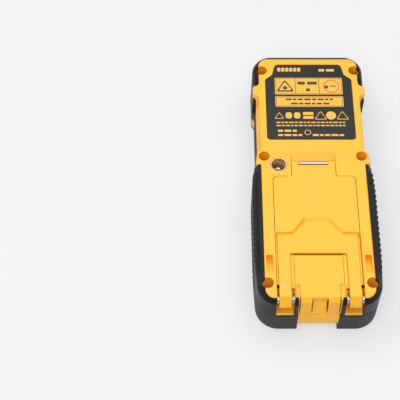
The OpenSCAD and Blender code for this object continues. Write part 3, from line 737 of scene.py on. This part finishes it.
def rear_top_rubber():
    rubber = slab(
        "rear_top_rubber", both_sides(TOP_RUBBER_HALF), PARTING_Z + 0.05, BACK_Z - 0.35, 0.25, 4.6
    )
    low_core = inset(both_sides(LOW_PANEL_HALF), CORE_IN)
    cut(
        rubber, slab("core_low", low_core, PARTING_Z - 1, LUG_LOW_Z + 0.3),
        panel_core(LUG_LOW_Z, BACK_Z + 1),
        block(-SIDE_X, SIDE_X, 20, RUBBER_END_Y, PARTING_Z - 1, BACK_Z + 1),
        bezel_room(END_Y + 1),
    )
    cut(rubber, *recess_tools(), *boss_tools())
    soften(rubber, 0.3)
    return finish_piece(
        rubber, MATERIALS["black_rubber"], "case", "black_rubber", "rear_top_overmould"
    )


REAR_OUTER_HALF = [
    (28.2, GRIP_TOP_Y + 6, 1), (SIDE_X - 0.4, -8, 24), (SIDE_X - 0.4, -50, 24),
    (28.6, -END_Y, 11),
]
SHOULDER = [(2.55, 0), (2.25, 0.14), (0.1, 3.25), (0, 3.55)]
GROOVE_OUT = 0.8
GROOVE_IN = 1.8
GROOVE_Z = BACK_Z - 2.5
KNURL_PITCH = 3.0
KNURL_LOW_Y = -55.5
KNURL_COUNT = 19
KNURL_OUT = 0.4
BOW_MID_Y = -29
BOW_START = 14
BOW_RUN = 20
BOW_DEPTH = 1.3


def grip_edge_x(y):
    """X of the side grip's outer wall at a given Y."""
    bow = max(0.0, abs(y - BOW_MID_Y) - BOW_START) / BOW_RUN
    return SIDE_X - KNURL_OUT - BOW_DEPTH * bow ** 2


def knurl_bars(low, high):
    """Upright ribs along the outer wall of a side grip."""
    bars = []
    for i in range(KNURL_COUNT):
        y = KNURL_LOW_Y + KNURL_PITCH * i
        x = min(SIDE_X, grip_edge_x(y) + KNURL_OUT)
        bars.append(slab("bar", rectangle(x - 0.9, x, y, y + 1.5, 0.4), low, high, 0.4, 0.4))
    return bars


def grip_groove():
    """The ring-shaped cutter of the groove along the top of both grips."""
    path = both_sides(REAR_OUTER_HALF)
    ring = slab("groove", inset(path, GROOVE_OUT), GROOVE_Z, BACK_Z + 1)
    cut(
        ring, slab("inner", inset(path, GROOVE_IN), GROOVE_Z - 1, BACK_Z + 2),
        block(-SIDE_X, SIDE_X, -END_Y, -57, GROOVE_Z - 1, BACK_Z + 2),
        block(-SIDE_X, SIDE_X, -0.5, 10, GROOVE_Z - 1, BACK_Z + 2),
    )
    return ring


def rear_grip():
    """The right-hand rear grip and bumper."""
    rubber = shouldered_slab(
        "rear_grip", both_sides(REAR_OUTER_HALF), PARTING_Z + 0.2, BACK_Z - 0.3, SHOULDER
    )
    cut(
        rubber, panel_core(PARTING_Z - 1, BACK_Z + 1),
        block(-SIDE_X - 1, CHEEK_OUT, -END_Y - 1, 12, PARTING_Z - 1, BACK_Z + 1),
        block(-SIDE_X - 1, SIDE_X + 1, GRIP_TOP_Y - 0.05, 12, PARTING_Z - 1, BACK_Z + 1),
        block(SLOT_IN, SLOT_OUT, -END_Y - 1, -60, PARTING_Z + 1, BACK_Z + 1),
        grip_groove(),
    )
    cut(rubber, *recess_tools(), *boss_tools())
    fuse(rubber, *knurl_bars(PARTING_Z + 2, BACK_Z - 3.4))
    cross_pitch = KNURL_PITCH / 2
    for i in range(2 * KNURL_COUNT - 2):
        y = KNURL_LOW_Y + cross_pitch * i
        x = grip_edge_x(y)
        fuse(rubber, block(
            x - GROOVE_IN - 0.1, x - GROOVE_OUT + 0.1, y, y + 0.7, GROOVE_Z - 0.2, GROOVE_Z + 0.3
        ))
    return rubber


def rear_grips():
    right = rear_grip()
    left = mirrored(right)
    for piece, node in ((right, "right_rear_grip"), (left, "left_rear_grip")):
        piece.name = "rubber_" + node
        soften(piece, 0.22)
        finish_piece(piece, MATERIALS["black_rubber"], "case", "black_rubber", node)


def front_rubber():
    rubber = slab("front_rubber", both_sides(FRONT_OUTER_HALF), 0, PARTING_Z - 0.3, 1.2, 0.3)
    cut(
        rubber, slab("core", inset(both_sides(FRONT_SHELL_HALF), 0.2), FACE_Z, PARTING_Z + 1),
        slab("face", both_sides(FACE_OPENING_HALF), -1, FACE_Z + 1),
        block(-GAP_HALF, GAP_HALF, -END_Y - 1, -58, -1, PARTING_Z + 1), bezel_room(END_Y + 1),
    )
    for bar in knurl_bars(3, PARTING_Z - 1.6):
        fuse(rubber, *pair(bar))
    # Room for the front shell's tabs
    cut(rubber, *[
        block(side * 29 - 3, side * 29 + 3, 42, TAB_HIGH_Y, TAB_LOW_Z, TAB_HIGH_Z)
        for side in (1, -1)
    ])
    soften(rubber, 0.3)
    return finish_piece(rubber, MATERIALS["grey_rubber"], "case", "grey_rubber", "front_overmould")


# ---- Foot ----

def thumb_recess():
    """Cutter of the lower area beside the crossbar, with a sloped edge."""
    def ring(x_out, x_in, y_out, y_in, z):
        end_y = PIN_Y - 5
        path = [
            (-x_in, y_in, 1.1), (x_in, y_in, 1.1), (x_out, y_out, 1.1), (FOOT_HALF + 2, y_out, 0),
            (FOOT_HALF + 2, end_y, 0), (-FOOT_HALF - 2, end_y, 0), (-FOOT_HALF - 2, y_out, 0),
            (-x_out, y_out, 1.1),
        ]
        return [(p.x, p.y, z) for p in rounded(path)]
    bm = bmesh.new()
    add_rings(bm, [
        ring(11.5, 5.6, WING_Y - 0.3, -28.7, BAR_Z), ring(12.2, 6.2, WING_Y + 0.3, -27.1, BACK_Z),
        ring(12.2, 6.2, WING_Y + 0.3, -27.1, BACK_Z + 1),
    ])
    return piece_from_bmesh("thumb_recess", bm)


ARM_END = [
    (PIN_Y + 1.6, BAR_Z), (PIN_Y + 0.2, BAR_Z), (-71.35, 24.0), (-71.4, 21.9), (-71.1, 21.2),
    (-70.5, 20.9), (-69.2, 20.9), (-67.4, 22.0), (-66.4, 23.4), (-66.05, 24.8),
    (-65.9, 26.2), (PIN_Y + 4, 26.2), (PIN_Y + 4, BAR_Z),
]


def foot():
    outline = both_sides([
        (TIP_HALF, TIP_Y, 0), (TIP_HALF, NECK_Y, 0.4), (FOOT_HALF, NECK_Y, 2.5),
        (FOOT_HALF, WING_Y - 0.6, 0.3), (ARM_OUT, WING_Y - 0.6, 0.3), (ARM_OUT, PIN_Y + 2, 0),
        (ARM_IN, PIN_Y + 2, 0), (ARM_IN, BAR_Y, BAR_CORNER),
    ])
    piece = slab("foot_flap", outline, FOOT_UNDER_Z, BACK_Z)
    cut(piece, thumb_recess())
    fuse(piece, *pair(side_slab("arm_end", ARM_END, ARM_IN, ARM_OUT)))
    bore = [(0, -SIDE_X), (BORE_R, -SIDE_X), (BORE_R, SIDE_X), (0, SIDE_X)]
    cut(piece, lathe("bore", bore, 32, "X", (0, PIN_Y, PIN_Z)))
    cut(piece, block(-WEAR_PIN_HALF, WEAR_PIN_HALF, 2.7, TIP_Y + 1, BAR_Z - 1.1, BACK_Z + 1))
    soften(piece, 0.2, 2, smooth_angle=12)
    return finish_piece(
        piece, MATERIALS["yellow_plastic"], "foot", "yellow_plastic", "positioning_foot"
    )


def wear_pin():
    z = BACK_Z - WEAR_PIN_R - 0.02
    half = WEAR_PIN_HALF - 0.05
    chamfer = 0.15
    profile = [
        (0, -half), (WEAR_PIN_R - chamfer, -half), (WEAR_PIN_R, -half + chamfer),
        (WEAR_PIN_R, half - chamfer), (WEAR_PIN_R - chamfer, half), (0, half),
    ]
    piece = lathe("wear_pin", profile, 40, "X", (0, WEAR_PIN_Y, z))
    smooth(piece)
    return finish_piece(piece, MATERIALS["steel"], "foot", "steel", "foot_wear_pin")


def coil_points(x_start):
    """The wire's middle line in one coil round the hinge pin."""
    pitch = WIRE_R * 2 + 0.03
    points = []
    for i in range(int(COIL_TURNS * COIL_STEPS) + 1):
        angle = 2 * math.pi * i / COIL_STEPS
        points.append((
            x_start + pitch * i / COIL_STEPS,
            PIN_Y + COIL_R * math.cos(angle),
            PIN_Z + COIL_R * math.sin(angle),
        ))
    return points


def wire(name, points, radius, sides=10):
    """A round wire swept along points."""
    bm = bmesh.new()
    rings = []
    for i, at in enumerate(points):
        at = Vector(at)
        before = Vector(points[max(0, i - 1)])
        after = Vector(points[min(len(points) - 1, i + 1)])
        along = (after - before).normalized()
        across = along.cross(Vector((1, 0, 0)))
        if across.length < 1e-3:
            across = along.cross(Vector((0, 0, 1)))
        across.normalize()
        up = along.cross(across)
        rings.append([
            at + across * (radius * math.cos(a)) + up * (radius * math.sin(a))
            for a in (2 * math.pi * k / sides for k in range(sides))
        ])
    add_rings(bm, rings)
    return piece_from_bmesh(name, bm)


def foot_spring(side, node):
    starts = (SLOT_IN + 0.35, ARM_OUT + 0.3)
    piece = join("spring_" + node, [wire("coil", coil_points(x), WIRE_R) for x in starts])
    if side < 0:
        other = mirrored(piece)
        bpy.data.objects.remove(piece)
        piece = other
        piece.name = "spring_" + node
    smooth(piece)
    return finish_piece(piece, MATERIALS["spring_steel"], "case", "spring_steel", node)


# ---- Door ----

def door():
    outline = both_sides([
        (DOOR_HALF + 0.1, DOOR_IN_Y - 0.1, 0.3), (DOOR_HALF + 0.1, DOOR_STEP_Y, 0.3),
        (TONGUE_HALF, DOOR_STEP_Y, 0.3), (TONGUE_HALF, DOOR_CHAMFER_Y + 0.4, 0),
    ])
    piece = slab("door_plate", outline, DOOR_PLATE_Z, DOOR_TOP)
    fuse(piece, side_slab("end_wall", end_profile() + [
        (DOOR_FOOT_Y + 1.5, PARTING_Z), (DOOR_FACE_Y + 1.6, DOOR_FACE_Z - 0.4),
        (-67, DOOR_PLATE_Z), (-67, DOOR_TOP),
    ], -TONGUE_SHOWN, TONGUE_SHOWN))
    window = LATCH_HALF + LATCH_GAP
    cut(
        piece, block(-SIDE_X, SIDE_X, -END_Y, -66, PARTING_Z - 1, DOOR_LOW_Z),
        block(-window, window, -END_Y, DOOR_CHAMFER_Y, LATCH_LOW_Z - 0.05, BACK_Z),
    )
    fuse(piece, block(-window - 0.5, window + 0.5, DOOR_CHAMFER_Y, DOOR_CHAMFER_Y + 1, 23.4, 25))
    in_x, out_x = DOOR_HALF - 0.5, DOOR_HALF + 1.5
    stub = [(0, in_x), (DOOR_PIN_R, in_x), (DOOR_PIN_R, out_x), (0, out_x)]
    fuse(piece, *pair(lathe("stub", stub, 24, "X", (0, DOOR_PIN_Y, DOOR_PIN_Z))))
    soften(piece, 0.14)
    return finish_piece(
        piece, MATERIALS["yellow_plastic"], "door", "yellow_plastic", "battery_door"
    )


def latch():
    lean = (DOOR_FACE_Y - DOOR_FOOT_Y) / (DOOR_FACE_Z - PARTING_Z)
    low_y = DOOR_FACE_Y - lean * (DOOR_FACE_Z - LATCH_LOW_Z)
    top_y = DOOR_CHAMFER_Y - 0.4
    piece = side_slab("latch_tongue", [
        (low_y, LATCH_LOW_Z), (top_y - 0.15, 21.4), (top_y, LATCH_TOP_Z),
        (top_y + 1.05, LATCH_TOP_Z), (top_y + 1, 21), (low_y + 1.2, LATCH_LOW_Z),
    ], -LATCH_HALF, LATCH_HALF)
    soften(piece, 0.08, smooth_angle=20)
    return finish_piece(
        piece, MATERIALS["yellow_plastic"], "latch", "yellow_plastic", "battery_latch"
    )


# ---- Tripod insert ----

THREAD_PITCH = 1.27
THREAD_CREST = 2.6
THREAD_ROOT = 3.1
THREAD_LOW_Z = 21.6
THREAD_HIGH_Z = BACK_Z - 1.3
TURN_STEPS = 48
ROWS_PER_TURN = 8


def turned_ring(z, radius_at):
    """A ring of points whose radius depends on the share of the turn."""
    ring = []
    for i in range(TURN_STEPS):
        angle = 2 * math.pi * i / TURN_STEPS
        radius = radius_at(i / TURN_STEPS)
        ring.append((radius * math.cos(angle), radius * math.sin(angle), z))
    return ring


def thread_rings():
    """The thread's surface: a triangular wave that climbs with the turn."""
    height = THREAD_HIGH_Z - THREAD_LOW_Z
    rows = int(height / THREAD_PITCH * ROWS_PER_TURN)
    rings = []
    for j in range(rows + 1):
        z = THREAD_LOW_Z + height * j / rows

        def radius_at(turn):
            phase = ((z / THREAD_PITCH) - turn) % 1.0
            return THREAD_CREST + (THREAD_ROOT - THREAD_CREST) * (1 - abs(2 * phase - 1))

        rings.append(turned_ring(z, radius_at))
    return rings


def tripod_insert():
    top = BACK_Z - 0.1
    profile = [(3.4, top - 0.35), (3.5, top - 0.05), (3.62, top), (4.15, top), (4.27, top - 0.12),
               (4.27, BACK_Z - 1), (3.88, BACK_Z - 1), (3.88, 20.7), (0.02, 20.7)]
    floor = [(0.02, 21.2), (2.2, 21.2), (2.6, 21.45)]
    lower, upper = (
        [turned_ring(z, lambda turn: radius) for radius, z in part] for part in (floor, profile)
    )
    loops = lower + thread_rings() + upper
    loops = [[(x + INSERT_X, y + INSERT_Y, z) for x, y, z in loop] for loop in loops]
    loops.append(loops[0])
    bm = bmesh.new()
    add_rings(bm, loops, close_ends=False)
    bmesh.ops.remove_doubles(bm, verts=bm.verts, dist=1e-8)
    piece = piece_from_bmesh("threaded_insert", bm)
    smooth(piece, 30)
    return finish_piece(piece, MATERIALS["insert_brass"], "case", "insert_brass", "tripod_insert")


# ---- Label ----

LABEL_TOP = BACK_Z - 0.12
INK_H = 0.035
INK_SUNK = 0.01


def label_plate():
    piece = slab("label", label_outline(-0.05), BACK_Z - 0.42, LABEL_TOP, 0, 0.1)
    smooth(piece)
    return finish_piece(piece, MATERIALS["label_film"], "case", "label_film", "label_plate")


def ink_levels(lift):
    """Lower and upper Z of a print layer; each lift is one layer higher."""
    low = LABEL_TOP - INK_SUNK
    return low, low + INK_SUNK + INK_H * (lift + 1)


def ink(x_low, x_high, y_low, y_high, radius=0.0, lift=0):
    return polygon_ink(rectangle(x_low, x_high, y_low, y_high, radius), lift)


def ink_hole(path):
    return slab("hole", path, LABEL_TOP - 1, LABEL_TOP + 1)


def ink_frame(x_low, x_high, y_low, y_high, thick, radius=0.4, lift=0):
    """A thin printed border."""
    frame_piece = ink(x_low, x_high, y_low, y_high, radius, lift)
    cut(frame_piece, ink_hole(rectangle(
        x_low + thick, x_high - thick, y_low + thick, y_high - thick, max(0.05, radius - thick)
    )))
    return frame_piece


def polygon_ink(points, lift=0):
    return slab("ink", points, *ink_levels(lift))


def triangle_ink(x, y, size, thick, lift=0):
    """A triangle outline, point up."""
    def corners(s):
        return [(x, y + s * 0.62, s * 0.1), (x + s * 0.62, y - s * 0.42, s * 0.1),
                (x - s * 0.62, y - s * 0.42, s * 0.1)]
    outer = polygon_ink(corners(size), lift)
    cut(outer, ink_hole(corners(size - thick * 2.4)))
    return outer


def ring_ink(x, y, radius, thick, lift=0):
    outer = disc(x, y, radius, *ink_levels(lift), 40)
    cut(outer, ink_hole(circle(x, y, radius - thick, 40)))
    return outer


def dot_ink(x, y, radius, lift=0):
    return disc(x, y, radius, *ink_levels(lift), 28)


def word_line(x_start, x_end, y, height, lift=0, seed=0):
    """A line of plain dashes of uneven lengths, in the place of text."""
    pieces = []
    x = x_start
    i = 0
    while x < x_end - height:
        length = height * (1.6 + 1.5 * ((i * 7 + seed * 3) % 5) / 4)
        stop = min(x + length, x_end)
        pieces.append(ink(x, stop, y - height / 2, y + height / 2, height * 0.2, lift))
        x = stop + height * 0.6
        i += 1
    return pieces


def label_print():
    light = []
    # Header: plain bars at both ends
    light += [ink(-15.6 + 2.05 * i, -14.0 + 2.05 * i, 60.4, 62.8, 0.3) for i in range(6)]
    light += word_line(5.6, 15.4, 61.2, 1.5, 0, 2)
    # Two panels
    light.append(ink(-17.2, 17.2, 45.7, 56.3, 0.5))
    light.append(ink(-17.2, 17.2, 38.0, 44.5, 0.5))
    # Row of plain symbols
    row_y = 32.6
    light.append(triangle_ink(-15.6, row_y - 0.3, 4.0, 0.35))
    light += [ink(x, x + 3.2, row_y - 1.9, row_y + 1.9, 1.2) for x in (-12.4, -8.2)]
    light.append(ink(-3.6, 1.6, row_y + 0.3, row_y + 2.1, 0.3))
    light.append(ink(-3.6, 1.6, row_y - 2.1, row_y - 0.3, 0.3))
    light.append(triangle_ink(5.2, row_y - 0.3, 5.2, 0.4))
    light.append(dot_ink(10.4, row_y, 2.5))
    light.append(triangle_ink(16.2, row_y - 0.3, 5.2, 0.4))
    # Small print
    light += word_line(-17.2, 17.2, 28.3, 0.75, 0, 1)
    light += word_line(-17.2, 17.2, 26.4, 0.75, 0, 3)
    light += word_line(-16.6, -5.4, 23.2, 1.25, 0, 2)
    light += word_line(-16.6, -4.6, 20.6, 1.1, 0, 4)
    light += word_line(0.6, 17.6, 20.6, 1.1, 0, 1)
    light.append(ring_ink(-1.8, 22.2, 1.6, 0.35))
    piece = join("label_light_ink", light)
    finish_piece(piece, MATERIALS["label_ink"], "case", "label_film")
    # Dark print on the two panels
    dark = [
        triangle_ink(-12.0, 50.6, 7.6, 0.9, 1), dot_ink(-12.0, 49.9, 1.15, 1),
        ink(-6.9, -6.6, 46.2, 55.8, 0, 1), ink(5.2, 5.5, 46.2, 55.8, 0, 1),
        ink_frame(-16.8, 16.8, 46.1, 55.9, 0.22, 0.4, 1),
        ink_frame(-16.8, 16.8, 38.4, 44.1, 0.22, 0.4, 1),
        dot_ink(9.0, 50.4, 1.0, 1), ink(10.6, 14.2, 50.7, 51.3, 0.1, 1),
    ]
    dark += word_line(-5.6, 4.4, 52.9, 1.9, 1, 2)
    dark += word_line(-1.4, 0.6, 48.6, 1.9, 1, 0)
    dark += word_line(-12, 12, 42.6, 1.1, 1, 1)
    dark += word_line(-9.4, 10, 40.0, 1.1, 1, 3)
    piece = join("label_dark_ink", dark)
    finish_piece(piece, MATERIALS["label_dark"], "case", "label_film")
    piece = join("label_red_ink", [ring_ink(11.6, 51, 4.1, 0.55, 1)])
    finish_piece(piece, MATERIALS["label_red"], "case", "label_film")


# ---- Key symbols ----

def key_bar(x, y, long_x, long_y, low, high):
    return slab("mark", rectangle(
        x - long_x / 2, x + long_x / 2, y - long_y / 2, y + long_y / 2, 0.2
    ), low, high)


def key_outline(path, hole, low, high):
    outer = slab("mark", path, low, high)
    cut(outer, slab("hole", hole, low - 1, high + 1))
    return outer


def key_symbol(kind, x, y, low, high):
    """Plain symbols: a plus, a minus, a square, a triangle, rows, a ring and bars."""
    if kind == "add":
        cross = key_bar(x, y, 3.4, 0.7, low, high)
        fuse(cross, key_bar(x, y, 0.7, 3.4, low, high))
        return [cross]
    if kind == "subtract":
        return [key_bar(x, y, 3.4, 0.7, low, high)]
    if kind == "area":
        return [key_outline(
            rectangle(x - 1.7, x + 1.7, y - 1.7, y + 1.7, 0.3),
            rectangle(x - 1.2, x + 1.2, y - 1.2, y + 1.2, 0.1), low, high
        )]
    if kind == "indirect":
        return [key_outline(
            [(x + 2, y + 1.7, 0.3), (x + 2, y - 1.7, 0.3), (x - 2.4, y - 1.7, 0.3)],
            [(x + 1.5, y + 0.8, 0.1), (x + 1.5, y - 1.2, 0.1), (x - 1.1, y - 1.2, 0.1)], low, high
        )]
    if kind == "memory":
        return [key_bar(x, y + step, 3.4, 0.55, low, high) for step in (-1.3, 0, 1.3)]
    if kind == "reference":
        return [
            key_bar(x, y - 1.6, 3.4, 0.6, low, high), key_bar(x, y + 0.5, 0.7, 2.6, low, high),
        ]
    if kind == "clear":
        return [disc(x, y, 1.1, low, high, 32)]
    radius = 3.2 if kind == "measure" else 1.9
    return [key_outline(circle(x, y, radius), circle(x, y, radius * 0.74), low, high)]


KEYS = (
    "measure", "reference", "clear", "add", "area", "subtract", "indirect", "memory", "timer",
)


def key_symbols():
    for kind in KEYS:
        low, high = node_box("key_" + kind)
        middle = [(a + b) / 2 for a, b in zip(low, high)]
        marks = key_symbol(kind, middle[0], middle[1], low[2] - 0.03, low[2] + 0.02)
        piece = join("symbol_" + kind, marks)
        ink_name = "label_dark" if kind == "measure" else "key_ink"
        slot = {"measure": "key_yellow", "clear": "key_red"}.get(kind, "key_grey")
        finish_piece(piece, MATERIALS[ink_name], kind + "_key", slot)


# ---- CAD nodes that keep their shape ----

def keep_cad_shapes():
    """Materials and rounded edges for the CAD nodes that stay visible."""
    slots = {part["node"]: part["material_slot"] for part in frame["record"]["subparts"]}
    for name, node in NODES.items():
        node.data.materials.clear()
        node.data.materials.append(MATERIALS[slots[name]])
        edges = node.modifiers.new("edges", "BEVEL")
        edges.width = 0.12 * MM
        edges.segments = 2
        edges.limit_method = "ANGLE"
        edges.angle_limit = math.radians(40)


# ---- Stage, lights and camera ----

def stage():
    bm = bmesh.new()
    size = 3.0
    corners = [(-size, -size), (size, -size), (size, size), (-size, size)]
    bm.faces.new([bm.verts.new((x, y, 0)) for x, y in corners])
    floor = piece_from_bmesh("floor", bm)
    material, _, shader = node_tree("floor_paper")
    shader.inputs["Base Color"].default_value = (0.33, 0.335, 0.342, 1)
    shader.inputs["Roughness"].default_value = 0.85
    shader.inputs["Specular IOR Level"].default_value = 0.1
    shader.inputs["Emission Color"].default_value = (0.985, 0.992, 1, 1)
    shader.inputs["Emission Strength"].default_value = 0.49
    floor.data.materials.append(material)


def area_light(name, place, target, size, power):
    data = bpy.data.lights.new(name, "AREA")
    data.shape = "DISK"
    data.size = size
    data.energy = power
    light = bpy.data.objects.new(name, data)
    bpy.context.scene.collection.objects.link(light)
    light.location = place
    aim = Vector(target) - Vector(place)
    light.rotation_euler = aim.to_track_quat("-Z", "Y").to_euler()


def lights():
    world = bpy.data.worlds.new("soft_white")
    bpy.context.scene.world = world
    world.use_nodes = True
    background = world.node_tree.nodes["Background"]
    background.inputs["Color"].default_value = (0.97, 0.985, 1, 1)
    background.inputs["Strength"].default_value = 0.24
    area_light("overhead", (-0.12, 0.1, 1.0), (0, 0, 0), 1.8, 14.6)
    area_light("front", (-0.2, -0.75, 1.0), (0, 0, 0), 0.8, 4.6)


def camera():
    data = bpy.data.cameras.new("camera")
    data.lens = 105
    data.sensor_width = 36
    data.clip_start = 0.01
    eye = bpy.data.objects.new("camera", data)
    bpy.context.scene.collection.objects.link(eye)
    eye.location = (-0.0554, -0.3116, 0.5048)
    eye.rotation_euler = (math.radians(31.73), 0, 0)
    bpy.context.scene.camera = eye


camera()
lights()
stage()
bpy.context.scene.view_settings.view_transform = "Standard"
keep_cad_shapes()
back_shell()
front_shell()
rear_top_rubber()
rear_grips()
front_rubber()
foot()
wear_pin()
foot_spring(1, "foot_spring_right")
foot_spring(-1, "foot_spring_left")
door()
latch()
tripod_insert()
label_plate()
label_print()
key_symbols()
